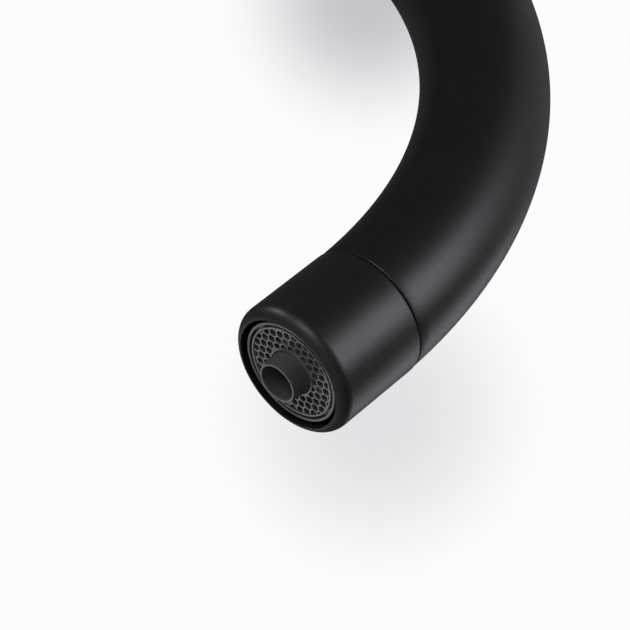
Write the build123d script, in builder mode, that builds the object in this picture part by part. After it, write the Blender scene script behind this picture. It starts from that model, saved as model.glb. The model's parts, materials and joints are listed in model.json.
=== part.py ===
from build123d import *

import os
from math import acos, asin, cos, degrees, hypot, pi, radians, sin, sqrt

# Three-way pull-down kitchen faucet, in millimetres.
# The origin is on the deck, at the centre of the base. +Z is up, the spout reaches towards -Y,
# the mixer lever is on the +X side and the filtered-water lever on the -X side.

# ---- Driving dimensions ------------------------------------------------------------------------

# Spout tube: a straight column and an arch, cut square to the head's axis at the seam.
tube_radius = 14.0
tube_wall = 1.2
tube_start = 150.4
arch_height = 262.0
arch_radius = 117.0
arch_sweep = 165.0
seam_kink = 1.7
seam_gap = 0.35
trim_length = 6.0
trim_turn = 1.0
trim_margin = 2.0

# Deck parts
deck_thickness = 30.0
flange_radius = 27.0
flange_height = 5.0
flange_bore = 19.2
flange_edge = 1.7
gasket_outer = 25.0
gasket_inner = 21.0
gasket_height = 1.5
shank_bore = 14.8
shank_length = 85.0
shank_grip = 8.0
shank_grip_radius = 16.3
shank_neck_top = 0.5
shank_neck_end = 25.5
shank_neck_radius = 16.5
shank_groove_end = 27.0
shank_groove_radius = 16.0
shank_thread_radius = 16.4
washer_radius = 26.0
washer_bore = 17.0
rubber_washer_height = 3.0
metal_washer_height = 2.0
nut_flange_radius = 25.0
nut_flange_height = 3.0
nut_flats = 42.0
nut_height = 12.0
nut_bore = 16.5

# Valve body
body_radius = 23.0
body_top = 150.0
body_spigot_radius = 19.1
body_edge = 2.5
foot_bore = 14.0
foot_ledge = 110.0
lever_height = 95.0
hot_port_drop = 7.0
mixed_port_rise = 4.0
filter_out_port_drop = 4.0
mixer_stub_radius = 19.0
mixer_stub_end = 44.0
filter_stub_radius = 13.0
filter_stub_end = 40.0

# Passage of the pull-out hose, and the five hose sockets on an arc in front of it
hose_radius = 6.0
hose_bore = 4.5
hose_bend = 60.0
hose_shift = 8.0
passage_radius = 6.8
passage_slot_start = 18.0
socket_radius = 3.5
socket_depth = 14.0
socket_circle = 10.9
socket_pitch = 44.2
channel_radius = 1.8
filter_channel_radius = 1.0
tube_line_radius = 2.5
tube_line_bore = 1.7

# Mixer cartridge, along +X
cavity_radius = 13.9
cavity_floor = 13.0
cartridge_gasket_height = 1.0
housing_radius = 13.85
housing_bore = 12.4
housing_floor = 2.0
housing_end = 37.0
ceramic_radius = 12.2
ceramic_height = 4.0
moving_disc_radius = 9.5
moving_slot_length = 7.6
moving_slot_width = 5.4
port_lean = 0.7
disc_carrier_height = 3.2
stem_pivot = 31.0
stem_width = 6.0
stem_end = 60.0
stem_drive_length = 4.2
stem_drive_radius = 2.0
stem_drive_neck = 1.6
stem_shoulder = 2.6
drive_pocket_floor = 0.6
stem_slot_length = 18.0
stem_pin_reach = 11.2
pin_radius = 1.5
carrier_start = 27.6
carrier_end = 34.0
nut_recess_radius = 15.5
cartridge_nut_end = 41.0
cartridge_nut_bore = 10.0
key_hole_radius = 1.4
key_hole_circle = 12.2
key_hole_count = 6
key_hole_depth = 2.0
dome_radius = 23.0
dome_wall = 1.5
dome_hole_angle = 32.0
dome_skirt_bore = 13.5
dome_web = 1.4
dome_gap = 0.5
dome_root = 0.5

# Mixer lever
hub_end = 64.0
hub_edge = 1.6
stem_end_play = 0.5
rod_radius = 4.0
rod_offset = 56.0
rod_root = 12.5
rod_length = 86.0
rod_tip_edge = 1.2
set_screw_radius = 2.0
set_screw_length = 6.0
plug_radius = 2.6
plug_length = 3.5
plug_recess = 1.0
hex_key = 1.0

# Filtered-water valve, along -X
filter_cavity_radius = 9.0
filter_floor = 13.0
filter_gasket_height = 0.8
filter_housing_radius = 8.95
filter_housing_bore = 7.4
filter_housing_end = 34.0
filter_disc_radius = 7.2
filter_disc_height = 3.0
filter_slot_width = 3.0
filter_slot_turn = 20.0
filter_port_lean = 0.6
filter_nut_radius = 10.5
filter_nut_end = 39.5
filter_key_hole_radius = 1.2
filter_key_hole_circle = 6.9
filter_key_hole_count = 4
spindle_radius = 3.5
spindle_shoulder_radius = 6.0
spindle_shoulder_end = 26.0
spindle_end = 49.0
filter_hub_start = 40.6
filter_hub_end = 52.0
filter_rod_radius = 3.0
filter_rod_offset = 46.5
filter_rod_root = 7.0
filter_rod_length = 46.0
filter_screw_radius = 1.5
filter_screw_length = 4.0
filter_hex_key = 0.8

# Spout foot and its bearings
foot_radius = 13.7
foot_inner = 10.0
foot_bottom = 112.0
foot_spigot_radius = 12.75
foot_spigot_top = 174.0
glide_groove_radius = 12.2
glide_radius = 13.95
glide_height = 4.0
upper_glide_height = 143.0
lower_glide_height = 122.0
friction_ring_height = 134.0
friction_ring_section = 1.6
thrust_washer_height = 1.6
thrust_washer_bore = 10.2
stop_height = 117.0
stop_pin_radius = 1.5
stop_slot_depth = 1.8
stop_screw_radius = 2.5
stop_screw_recess = 1.0
stop_screw_key = 1.4
swivel_limit = 70.0
swivel_play = 1.0

# Dock in the end of the spout
dock_depth = 18.0
dock_bore = 9.8
dock_radius = 12.75
magnet_height = 4.0
magnet_bore = 9.2
magnet_radius = 12.6
dock_lead = 15.0

# Pull-out head; heights are measured from the seam, down is negative
head_radius = 14.15
head_length = 22.8
head_lip = 2.9
head_edge = 0.35
head_mouth = 12.0
head_web = 3.6
core_radius = 11.9
core_height = 9.0
spigot_radius = 9.5
spigot_top = 16.0
ferrule_chamber = 7.2
nipple_seat = 5.0
nipple_chamber = 6.0
nozzle_socket = 4.8
port_circle = 8.0
port_radius = 1.2
port_count = 6
side_port_height = 0.9
side_port_radius = 0.7
steel_ring_height = 2.0
steel_ring_wall = 0.4
ring_groove_rise = 0.2
aerator_seal_height = 1.4
aerator_thread_end = 14.0
aerator_end = 21.8
aerator_ring_outer = 11.15
aerator_ring_inner = 10.5
aerator_bore = 10.0
aerator_groove_depth = 1.2
comb_end = 21.7
comb_cells_end = 21.5
comb_start = 17.5
comb_radius = 9.95
comb_cell_limit = 9.65
comb_hub_radius = 4.95
comb_hub_wall = 0.3
cell_pitch = 1.83
cell_wall = 0.3
cell_direction = 41.0
cell_offset = (-0.3, -1.0)
filled_cells = ((1.4, 7.2), (-6.5, -0.2), (4.9, -4.9))
blind_cell_depth = 0.6
mesh_height = 0.5
mesh_start = 16.4
mesh_rows = ((5.9, 20), (7.2, 26), (8.5, 32))
mesh_hole = 0.4
diffuser_start = 11.4
diffuser_height = 2.0
diffuser_rows = ((6.4, 18), (8.4, 24))
diffuser_hole = 0.45
nozzle_top = 6.1
nozzle_hub_radius = 4.75
nozzle_tip = 25.65
nozzle_tip_radius = 4.3
nozzle_tip_bore = 3.82
nozzle_bore_start = 12.0
nozzle_screen_depth = 15.0
nozzle_screen_height = 1.0
nozzle_screen_rows = ((1.2, 6), (2.4, 12))
nozzle_ring_groove = 3.4
line_end = 9.2

# Hose end in the head
nipple_collar_radius = 7.0
nipple_bottom = 4.0
nipple_radius = 4.9
nipple_bore = 3.3
hose_end_height = 2.0
ferrule_outer = 6.6
ferrule_top = 14.0
retaining_ring_bore = 6.7
retaining_ring_radius = 8.0
retaining_ring_height = 1.2
oring_groove_radius = 4.2
oring_height = 1.3
oring_inset = 1.0
nipple_tail_setback = 2.0

# Lower end of the hose, under the deck
hose_split = 111.0
lower_bend_start = 104.0
column_bend_start = 190.0
lower_hose_end = 72.0
fitting_bottom = 90.0
fitting_radius = 6.6
fitting_grip = 6.0
fitting_core = 3.5
fitting_web = 3.0

# Fits: a loose fit between pieces of one body, and a running fit between moving pieces
fit = 0.05
running = 0.1
touch = 0.3

# How far a cut runs past the face that it opens
past = 1.0
far_past = 12.0

# ---- Derived values ----------------------------------------------------------------------------

tube_bore = tube_radius - tube_wall
head_tilt = radians(180 - arch_sweep - seam_kink)
seam_y = -arch_radius * (1 - cos(radians(arch_sweep)))
seam_z = arch_height + arch_radius * sin(radians(arch_sweep))
seam = Vector(0, seam_y, seam_z)
head_up = Vector(0, sin(head_tilt), cos(head_tilt))
head_inward = Vector(0, cos(head_tilt), -sin(head_tilt))
stem_point = Vector(stem_pivot, 0, lever_height)
core_top = -seam_gap - head_web
socket_angles = [-90 + socket_pitch * step for step in (2, 1, 0, -1, -2)]


def head_plane(height):
    """Plane across the head's axis, at a height above the seam."""
    return Plane(origin=seam + head_up * height, x_dir=head_inward, z_dir=head_up)


def mixer_plane(distance):
    """Plane across the mixer's axis, facing out along +X."""
    return Plane(origin=(distance, 0, lever_height), x_dir=(0, 1, 0), z_dir=(1, 0, 0))


def filter_plane(distance):
    """Plane across the filter valve's axis, facing out along -X."""
    return Plane(origin=(-distance, 0, lever_height), x_dir=(0, -1, 0), z_dir=(-1, 0, 0))


def upright_plane(x, z):
    """Level plane on the line x, at height z."""
    return Plane(origin=(x, 0, z))


def socket_point(angle):
    """Centre of a hose socket, in the deck plane."""
    return socket_circle * cos(radians(angle)), socket_circle * sin(radians(angle))


def ring(plane, outer, inner, height):
    """Plain ring that stands on a plane."""
    with BuildPart() as made:
        with BuildSketch(plane):
            Circle(outer)
            Circle(inner, mode=Mode.SUBTRACT)
        extrude(amount=height)
    return made


def drilled_disc(plane, radius, height, centres, hole_radius):
    """Disc that stands on a plane, with equal holes through it."""
    with BuildPart() as made:
        with BuildSketch(plane):
            Circle(radius)
            with Locations(*centres):
                Circle(hole_radius, mode=Mode.SUBTRACT)
        extrude(amount=height)
    return made


def hole_rings(rows):
    """Centres of holes on circles about the origin, from each circle's radius and count."""
    return [
        (circle * cos(radians(360 / count * step)), circle * sin(radians(360 / count * step)))
        for circle, count in rows
        for step in range(count)
    ]


def socket_screw(plane, radius, length, key):
    """Headless set screw that stands on a plane, with a hexagon socket in its far end."""
    with BuildPart() as made:
        with BuildSketch(plane):
            Circle(radius)
        extrude(amount=length)
        with BuildSketch(plane.offset(length)):
            RegularPolygon(key, 6)
        extrude(amount=-length / 3, mode=Mode.SUBTRACT)
    return made


os.makedirs("parts", exist_ok=True)

# ---- Deck parts --------------------------------------------------------------------------------

with BuildPart() as base_flange:
    with BuildSketch(Plane.XY):
        Circle(flange_radius)
        Circle(flange_bore, mode=Mode.SUBTRACT)
    extrude(amount=flange_height)
    with BuildSketch(Plane.XY):
        Circle(gasket_outer + fit)
        Circle(gasket_inner - fit, mode=Mode.SUBTRACT)
    extrude(amount=gasket_height, mode=Mode.SUBTRACT)
    top_edges = base_flange.edges().filter_by(GeomType.CIRCLE).group_by(Axis.Z)[-1]
    fillet(top_edges.sort_by(SortBy.LENGTH)[-1], flange_edge)
base_flange.part.label = "base_flange"
export_step(base_flange.part, "parts/base_flange.step")

base_gasket = ring(Plane.XY, gasket_outer, gasket_inner, gasket_height)
base_gasket.part.label = "base_gasket"
export_step(base_gasket.part, "parts/base_gasket.step")

# The shank: its grip in the body, the plain neck in the deck, a groove and the threaded end
with BuildPart() as threaded_shank:
    with BuildSketch(Plane.XY.offset(shank_grip)):
        Circle(shank_grip_radius)
    extrude(amount=-(shank_grip + shank_neck_top))
    with BuildSketch(Plane.XY.offset(-shank_neck_top)):
        Circle(shank_neck_radius)
    extrude(amount=-(shank_neck_end - shank_neck_top))
    with BuildSketch(Plane.XY.offset(-shank_neck_end)):
        Circle(shank_groove_radius)
    extrude(amount=-(shank_groove_end - shank_neck_end))
    with BuildSketch(Plane.XY.offset(-shank_groove_end)):
        Circle(shank_thread_radius)
    extrude(amount=-(shank_length - shank_groove_end))
    with BuildSketch(Plane.XY.offset(shank_grip)):
        Circle(shank_bore)
    extrude(amount=-(shank_grip + shank_length), mode=Mode.SUBTRACT)
threaded_shank.part.label = "threaded_shank"
export_step(threaded_shank.part, "parts/threaded_shank.step")

rubber_washer_level = -deck_thickness - rubber_washer_height
deck_rubber_washer = ring(
    Plane.XY.offset(rubber_washer_level), washer_radius, washer_bore, rubber_washer_height
)
deck_rubber_washer.part.label = "deck_rubber_washer"
export_step(deck_rubber_washer.part, "parts/deck_rubber_washer.step")

metal_washer_level = rubber_washer_level - metal_washer_height
deck_metal_washer = ring(
    Plane.XY.offset(metal_washer_level), washer_radius, washer_bore, metal_washer_height
)
deck_metal_washer.part.label = "deck_metal_washer"
export_step(deck_metal_washer.part, "parts/deck_metal_washer.step")

with BuildPart() as mounting_nut:
    with BuildSketch(Plane.XY.offset(metal_washer_level)):
        Circle(nut_flange_radius)
    extrude(amount=-nut_flange_height)
    with BuildSketch(Plane.XY.offset(metal_washer_level - nut_flange_height)):
        RegularPolygon(nut_flats / 2, 6, major_radius=False)
    extrude(amount=-nut_height)
    with BuildSketch(Plane.XY.offset(metal_washer_level)):
        Circle(nut_bore)
    extrude(amount=-(nut_flange_height + nut_height), mode=Mode.SUBTRACT)
mounting_nut.part.label = "mounting_nut"
export_step(mounting_nut.part, "parts/mounting_nut.step")

# ---- Valve body --------------------------------------------------------------------------------

hot_point, cold_point, mixed_point, filter_in_point, filter_out_point = (
    socket_point(angle) for angle in socket_angles
)
# Height of the drilling that leads each channel sideways into its valve
hot_port = lever_height - hot_port_drop
cold_port = lever_height
mixed_port = lever_height + mixed_port_rise
filter_in_port = lever_height
filter_out_port = lever_height - filter_out_port_drop

with BuildPart() as valve_body:
    with BuildSketch(Plane.XY):
        Circle(body_spigot_radius)
    extrude(amount=flange_height)
    with BuildSketch(Plane.XY.offset(flange_height)):
        Circle(body_radius)
    extrude(amount=body_top - flange_height)
    fillet(valve_body.faces().sort_by(Axis.Z)[-1].edges(), body_edge)
    with BuildSketch(mixer_plane(0)):
        Circle(mixer_stub_radius)
    extrude(amount=mixer_stub_end)
    with BuildSketch(filter_plane(0)):
        Circle(filter_stub_radius)
    extrude(amount=filter_stub_end)
    # Bore for the spout foot, and the passage of the pull-out hose
    with BuildSketch(Plane.XY.offset(foot_ledge)):
        Circle(foot_bore)
    extrude(amount=body_top - foot_ledge, mode=Mode.SUBTRACT)
    with BuildSketch(Plane.XY):
        with Locations((0, hose_shift)):
            Circle(passage_radius)
    extrude(amount=passage_slot_start, mode=Mode.SUBTRACT)
    with BuildSketch(Plane.XY.offset(passage_slot_start)):
        with Locations((0, hose_shift / 2)):
            SlotCenterToCenter(hose_shift, 2 * passage_radius, rotation=90)
    extrude(amount=foot_ledge - passage_slot_start, mode=Mode.SUBTRACT)
    # Groove that the shank screws into
    with BuildSketch(Plane.XY):
        Circle(shank_grip_radius + fit)
        Circle(shank_bore - fit, mode=Mode.SUBTRACT)
    extrude(amount=shank_grip, mode=Mode.SUBTRACT)
    # Hose sockets and the channels above them
    with BuildSketch(Plane.XY):
        with Locations(hot_point, cold_point, mixed_point, filter_in_point, filter_out_point):
            Circle(socket_radius)
    extrude(amount=socket_depth, mode=Mode.SUBTRACT)
    for point, port in ((hot_point, hot_port), (cold_point, cold_port), (mixed_point, mixed_port)):
        with BuildSketch(Plane.XY):
            with Locations(point):
                Circle(channel_radius)
        extrude(amount=port, mode=Mode.SUBTRACT)
        with BuildSketch(Plane(origin=(point[0], point[1], port), x_dir=(0, 1, 0), z_dir=(1, 0, 0))):
            Circle(channel_radius)
        extrude(amount=cavity_floor - point[0] + past, mode=Mode.SUBTRACT)
    for point, port in ((filter_in_point, filter_in_port), (filter_out_point, filter_out_port)):
        with BuildSketch(Plane.XY):
            with Locations(point):
                Circle(filter_channel_radius)
        extrude(amount=port, mode=Mode.SUBTRACT)
        with BuildSketch(Plane(origin=(point[0], point[1], port), x_dir=(0, 1, 0), z_dir=(-1, 0, 0))):
            Circle(filter_channel_radius)
        extrude(amount=filter_floor + point[0] + past, mode=Mode.SUBTRACT)
    # Cartridge cavities, each with a wider mouth for its nut
    with BuildSketch(mixer_plane(cavity_floor)):
        Circle(cavity_radius)
    extrude(amount=mixer_stub_end - cavity_floor, mode=Mode.SUBTRACT)
    with BuildSketch(mixer_plane(housing_end)):
        Circle(nut_recess_radius)
    extrude(amount=mixer_stub_end - housing_end, mode=Mode.SUBTRACT)
    with BuildSketch(filter_plane(filter_floor)):
        Circle(filter_cavity_radius)
    extrude(amount=filter_stub_end - filter_floor, mode=Mode.SUBTRACT)
    with BuildSketch(filter_plane(filter_housing_end)):
        Circle(filter_nut_radius)
    extrude(amount=filter_stub_end - filter_housing_end, mode=Mode.SUBTRACT)
    # Threaded hole for the swivel stop, at the back
    with BuildSketch(Plane(origin=(0, 0, stop_height), x_dir=(1, 0, 0), z_dir=(0, 1, 0))):
        Circle(stop_screw_radius + fit)
    extrude(amount=body_radius + past, mode=Mode.SUBTRACT)
valve_body.part.label = "valve_body"
export_step(valve_body.part, "parts/valve_body.step")

stop_screw_start = foot_bore + fit
stop_screw_plane = Plane(origin=(0, stop_screw_start, stop_height), x_dir=(1, 0, 0), z_dir=(0, 1, 0))
stop_screw_length = body_radius - foot_bore - stop_screw_recess

with BuildPart() as swivel_stop_screw:
    with BuildSketch(stop_screw_plane):
        Circle(stop_screw_radius)
    extrude(amount=stop_screw_length)
    with BuildSketch(stop_screw_plane):
        Circle(stop_pin_radius)
    extrude(amount=-(stop_screw_start - foot_radius + stop_slot_depth - touch))
    with BuildSketch(stop_screw_plane.offset(stop_screw_length)):
        RegularPolygon(stop_screw_key, 6)
    extrude(amount=-stop_screw_length / 3, mode=Mode.SUBTRACT)
swivel_stop_screw.part.label = "swivel_stop_screw"
export_step(swivel_stop_screw.part, "parts/swivel_stop_screw.step")

# ---- Mixer cartridge ---------------------------------------------------------------------------

port_points = [
    (hot_point[1], hot_port - lever_height),
    (cold_point[1], cold_port - lever_height),
    (mixed_point[1], mixed_port - lever_height),
]
gasket_top = cavity_floor + cartridge_gasket_height
disc_floor = gasket_top + housing_floor
moving_floor = disc_floor + ceramic_height
disc_carrier_floor = moving_floor + ceramic_height

cartridge_gasket = drilled_disc(
    mixer_plane(cavity_floor), housing_radius, cartridge_gasket_height, port_points, channel_radius
)
cartridge_gasket.part.label = "cartridge_gasket"
export_step(cartridge_gasket.part, "parts/cartridge_gasket.step")

with BuildPart() as cartridge_housing:
    with BuildSketch(mixer_plane(gasket_top)):
        Circle(housing_radius)
    extrude(amount=housing_end - gasket_top)
    with BuildSketch(mixer_plane(disc_floor)):
        Circle(housing_bore)
    extrude(amount=housing_end - disc_floor, mode=Mode.SUBTRACT)
    with BuildSketch(mixer_plane(gasket_top)):
        with Locations(*port_points):
            Circle(channel_radius)
    extrude(amount=housing_floor, mode=Mode.SUBTRACT)
cartridge_housing.part.label = "cartridge_housing"
export_step(cartridge_housing.part, "parts/cartridge_housing.step")

# The ports lean inwards through the fixed disc, so that the moving disc can cover them
disc_ports = [(port_lean * y, port_lean * z) for y, z in port_points]
fixed_ceramic_disc = drilled_disc(
    mixer_plane(disc_floor), ceramic_radius, ceramic_height, disc_ports, channel_radius
)
fixed_ceramic_disc.part.label = "fixed_ceramic_disc"
export_step(fixed_ceramic_disc.part, "parts/fixed_ceramic_disc.step")

with BuildPart() as moving_ceramic_disc:
    with BuildSketch(mixer_plane(moving_floor + fit)):
        Circle(moving_disc_radius)
    extrude(amount=ceramic_height - fit)
    with BuildSketch(mixer_plane(moving_floor + fit)):
        SlotCenterToCenter(moving_slot_length, moving_slot_width)
    extrude(amount=ceramic_height / 2, mode=Mode.SUBTRACT)
moving_ceramic_disc.part.label = "moving_ceramic_disc"
export_step(moving_ceramic_disc.part, "parts/moving_ceramic_disc.step")

with BuildPart() as disc_carrier:
    with BuildSketch(mixer_plane(disc_carrier_floor)):
        Circle(moving_disc_radius)
    extrude(amount=disc_carrier_height)
    with BuildSketch(mixer_plane(disc_carrier_floor + drive_pocket_floor)):
        Rectangle(2 * stem_drive_radius + 2 * running, 2 * stem_drive_radius + 4 * running)
    extrude(amount=disc_carrier_height, mode=Mode.SUBTRACT)
disc_carrier.part.label = "disc_carrier"
export_step(disc_carrier.part, "parts/disc_carrier.step")

with BuildPart() as stem_carrier:
    with BuildSketch(mixer_plane(carrier_start)):
        Circle(ceramic_radius)
    extrude(amount=carrier_end - carrier_start)
    with BuildSketch(mixer_plane(carrier_start)):
        Rectangle(stem_width + 2 * running, stem_slot_length)
    extrude(amount=carrier_end - carrier_start, mode=Mode.SUBTRACT)
    with BuildSketch(Plane(origin=stem_point, x_dir=(0, 0, 1), z_dir=(0, 1, 0))):
        Circle(pin_radius + fit)
    extrude(amount=ceramic_radius, both=True, mode=Mode.SUBTRACT)
stem_carrier.part.label = "stem_carrier"
export_step(stem_carrier.part, "parts/stem_carrier.step")

with BuildPart() as stem_pin:
    with BuildSketch(Plane(origin=stem_point, x_dir=(0, 0, 1), z_dir=(0, 1, 0))):
        Circle(pin_radius)
    extrude(amount=stem_pin_reach, both=True)
stem_pin.part.label = "stem_pin"
export_step(stem_pin.part, "parts/stem_pin.step")

with BuildPart() as lever_stem:
    with BuildSketch(mixer_plane(stem_pivot - stem_shoulder)):
        Rectangle(stem_width, stem_width)
    extrude(amount=stem_end - stem_pivot + stem_shoulder)
    with Locations(mixer_plane(stem_pivot - stem_drive_length)):
        Sphere(stem_drive_radius)
    with BuildSketch(mixer_plane(stem_pivot - stem_drive_length)):
        Circle(stem_drive_neck)
    extrude(amount=stem_drive_length - stem_shoulder)
    with BuildSketch(Plane(origin=stem_point, x_dir=(0, 0, 1), z_dir=(0, 1, 0))):
        Circle(pin_radius + fit)
    extrude(amount=stem_width, both=True, mode=Mode.SUBTRACT)
lever_stem.part.label = "lever_stem"
export_step(lever_stem.part, "parts/lever_stem.step")

with BuildPart() as cartridge_nut:
    with BuildSketch(mixer_plane(housing_end)):
        Circle(nut_recess_radius - fit)
        Circle(cartridge_nut_bore, mode=Mode.SUBTRACT)
    extrude(amount=cartridge_nut_end - housing_end)
    with BuildSketch(mixer_plane(cartridge_nut_end)):
        with PolarLocations(key_hole_circle, key_hole_count):
            Circle(key_hole_radius)
    extrude(amount=-key_hole_depth, mode=Mode.SUBTRACT)
cartridge_nut.part.label = "cartridge_nut"
export_step(cartridge_nut.part, "parts/cartridge_nut.step")

dome_hole = dome_radius * sin(radians(dome_hole_angle))
dome_foot = sqrt(dome_radius**2 - (mixer_stub_end - stem_pivot) ** 2)
dome_skirt_length = mixer_stub_end - cartridge_nut_end
dome_skirt_wall = nut_recess_radius - fit - dome_skirt_bore

stem_profile = Plane(origin=stem_point, x_dir=(1, 0, 0), z_dir=(0, -1, 0))
stem_axis = Axis(stem_point, (1, 0, 0))

with BuildPart() as dome_cover:
    with BuildSketch(stem_profile):
        Circle(dome_radius)
        Circle(dome_radius - dome_wall, mode=Mode.SUBTRACT)
        with Locations((mixer_stub_end - stem_pivot, dome_hole)):
            Rectangle(dome_radius, dome_radius, align=Align.MIN, mode=Mode.INTERSECT)
        with Locations((mixer_stub_end - stem_pivot, dome_skirt_bore)):
            Rectangle(dome_web, dome_foot - dome_wall - dome_skirt_bore + dome_root, align=Align.MIN)
        with Locations((cartridge_nut_end - stem_pivot, dome_skirt_bore)):
            Rectangle(dome_skirt_length, dome_skirt_wall, align=Align.MIN)
    revolve(axis=stem_axis)
dome_cover.part.label = "dome_cover"
export_step(dome_cover.part, "parts/dome_cover.step")

# ---- Mixer lever -------------------------------------------------------------------------------

with BuildPart() as lever_hub:
    with BuildSketch(stem_profile):
        Rectangle(hub_end - stem_pivot, mixer_stub_radius, align=Align.MIN)
        Circle(dome_radius + dome_gap, mode=Mode.SUBTRACT)
    revolve(axis=stem_axis)
    fillet(lever_hub.faces().sort_by(Axis.X)[-1].edges(), hub_edge)
    with BuildSketch(mixer_plane(mixer_stub_end)):
        Rectangle(stem_width + 2 * fit, stem_width + 2 * fit)
    extrude(amount=stem_end - mixer_stub_end + stem_end_play, mode=Mode.SUBTRACT)
    with BuildSketch(upright_plane(rod_offset, lever_height + rod_root)):
        Circle(rod_radius + fit)
    extrude(amount=mixer_stub_radius, mode=Mode.SUBTRACT)
    with BuildSketch(upright_plane(rod_offset, lever_height)):
        Circle(set_screw_radius + fit)
    extrude(amount=-mixer_stub_radius, mode=Mode.SUBTRACT)
    with BuildSketch(upright_plane(rod_offset, lever_height - mixer_stub_radius + plug_length + plug_recess)):
        Circle(plug_radius + fit)
    extrude(amount=-mixer_stub_radius, mode=Mode.SUBTRACT)
lever_hub.part.label = "lever_hub"
export_step(lever_hub.part, "parts/lever_hub.step")

with BuildPart() as lever_rod:
    with BuildSketch(upright_plane(rod_offset, lever_height + rod_root)):
        Circle(rod_radius)
    extrude(amount=rod_length)
    fillet(lever_rod.faces().sort_by(Axis.Z)[-1].edges(), rod_tip_edge)
lever_rod.part.label = "lever_rod"
export_step(lever_rod.part, "parts/lever_rod.step")

screw_plane = Plane(
    origin=(rod_offset, 0, lever_height - stem_width / 2 - fit), x_dir=(1, 0, 0), z_dir=(0, 0, -1)
)
lever_set_screw = socket_screw(screw_plane, set_screw_radius, set_screw_length, hex_key)
lever_set_screw.part.label = "lever_set_screw"
export_step(lever_set_screw.part, "parts/lever_set_screw.step")

plug_level = lever_height - mixer_stub_radius + plug_length + plug_recess - running

with BuildPart() as lever_plug:
    with BuildSketch(upright_plane(rod_offset, plug_level)):
        Circle(plug_radius)
    extrude(amount=-plug_length)
lever_plug.part.label = "lever_plug"
export_step(lever_plug.part, "parts/lever_plug.step")

# ---- Filtered-water valve and lever ------------------------------------------------------------

# In the filter valve's own plane the first coordinate runs towards -Y
filter_ports = [
    (-filter_in_point[1], filter_in_port - lever_height),
    (-filter_out_point[1], filter_out_port - lever_height),
]
filter_gasket_top = filter_floor + filter_gasket_height
filter_disc_floor = filter_gasket_top + housing_floor
filter_moving_floor = filter_disc_floor + filter_disc_height
filter_spindle_floor = filter_moving_floor + filter_disc_height

filter_valve_gasket = drilled_disc(
    filter_plane(filter_floor),
    filter_housing_radius,
    filter_gasket_height,
    filter_ports,
    filter_channel_radius,
)
filter_valve_gasket.part.label = "filter_valve_gasket"
export_step(filter_valve_gasket.part, "parts/filter_valve_gasket.step")

with BuildPart() as filter_valve_housing:
    with BuildSketch(filter_plane(filter_gasket_top)):
        Circle(filter_housing_radius)
    extrude(amount=filter_housing_end - filter_gasket_top)
    with BuildSketch(filter_plane(filter_disc_floor)):
        Circle(filter_housing_bore)
    extrude(amount=filter_housing_end - filter_disc_floor, mode=Mode.SUBTRACT)
    with BuildSketch(filter_plane(filter_gasket_top)):
        with Locations(*filter_ports):
            Circle(filter_channel_radius)
    extrude(amount=housing_floor, mode=Mode.SUBTRACT)
filter_valve_housing.part.label = "filter_valve_housing"
export_step(filter_valve_housing.part, "parts/filter_valve_housing.step")

filter_disc_ports = [(filter_port_lean * y, filter_port_lean * z) for y, z in filter_ports]
filter_fixed_disc = drilled_disc(
    filter_plane(filter_disc_floor),
    filter_disc_radius,
    filter_disc_height,
    filter_disc_ports,
    filter_channel_radius,
)
filter_fixed_disc.part.label = "filter_fixed_disc"
export_step(filter_fixed_disc.part, "parts/filter_fixed_disc.step")

with BuildPart() as filter_moving_disc:
    with BuildSketch(filter_plane(filter_moving_floor + fit)):
        Circle(filter_disc_radius)
    extrude(amount=filter_disc_height - fit)
    with BuildSketch(filter_plane(filter_moving_floor + fit)):
        SlotCenterToCenter(filter_disc_radius, filter_slot_width, rotation=filter_slot_turn)
    extrude(amount=filter_disc_height / 2, mode=Mode.SUBTRACT)
filter_moving_disc.part.label = "filter_moving_disc"
export_step(filter_moving_disc.part, "parts/filter_moving_disc.step")

with BuildPart() as filter_spindle:
    with BuildSketch(filter_plane(filter_spindle_floor)):
        Circle(spindle_shoulder_radius)
    extrude(amount=spindle_shoulder_end - filter_spindle_floor)
    with BuildSketch(filter_plane(spindle_shoulder_end)):
        Circle(spindle_radius)
    extrude(amount=spindle_end - spindle_shoulder_end)
filter_spindle.part.label = "filter_spindle"
export_step(filter_spindle.part, "parts/filter_spindle.step")

with BuildPart() as filter_valve_nut:
    with BuildSketch(filter_plane(filter_housing_end)):
        Circle(filter_nut_radius - fit)
        Circle(spindle_radius + running, mode=Mode.SUBTRACT)
    extrude(amount=filter_nut_end - filter_housing_end)
    with BuildSketch(filter_plane(filter_nut_end)):
        with PolarLocations(filter_key_hole_circle, filter_key_hole_count):
            Circle(filter_key_hole_radius)
    extrude(amount=-key_hole_depth, mode=Mode.SUBTRACT)
filter_valve_nut.part.label = "filter_valve_nut"
export_step(filter_valve_nut.part, "parts/filter_valve_nut.step")

with BuildPart() as filter_lever_hub:
    with BuildSketch(filter_plane(filter_hub_start)):
        Circle(filter_stub_radius)
    extrude(amount=filter_hub_end - filter_hub_start)
    fillet(filter_lever_hub.faces().sort_by(Axis.X)[0].edges(), hub_edge)
    with BuildSketch(filter_plane(filter_hub_start)):
        Circle(spindle_radius + fit)
    extrude(amount=spindle_end - filter_hub_start + stem_end_play, mode=Mode.SUBTRACT)
    with BuildSketch(upright_plane(-filter_rod_offset, lever_height + filter_rod_root)):
        Circle(filter_rod_radius + fit)
    extrude(amount=filter_stub_radius, mode=Mode.SUBTRACT)
    with BuildSketch(upright_plane(-filter_rod_offset, lever_height)):
        Circle(filter_screw_radius + fit)
    extrude(amount=-filter_stub_radius, mode=Mode.SUBTRACT)
filter_lever_hub.part.label = "filter_lever_hub"
export_step(filter_lever_hub.part, "parts/filter_lever_hub.step")

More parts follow.
